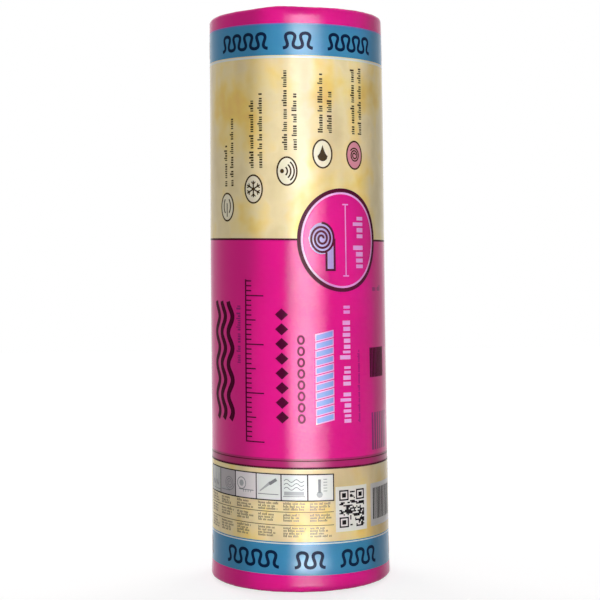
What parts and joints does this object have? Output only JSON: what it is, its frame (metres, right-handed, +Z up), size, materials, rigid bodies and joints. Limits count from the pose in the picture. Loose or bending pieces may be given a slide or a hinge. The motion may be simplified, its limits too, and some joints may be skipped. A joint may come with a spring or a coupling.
{
  "type": "insulation roll",
  "caption": "Compressed roll of glass wool blanket standing on its end in a printed film sleeve, its film pleated and turned in over both ends and its wound turns showing around a bore.",
  "frame": {"origin": "on the ground, under the centre of the roll's foot", "axes": "+Z up along the roll's axis; -Y towards the printed front of the sleeve; the film's lap is at the back, between -X and +Y"},
  "size_m": [0.3888, 0.3888, 1.2],
  "materials": {
    "glass_wool": "loose matt fibre, cream yellow",
    "printed_film": "semi-gloss printed polythene film in magenta, blue and cream bands"
  },
  "bodies": {
    "root": {"wool_roll": "glass_wool", "film_wrap": "printed_film"}
  },
  "joints": []
}
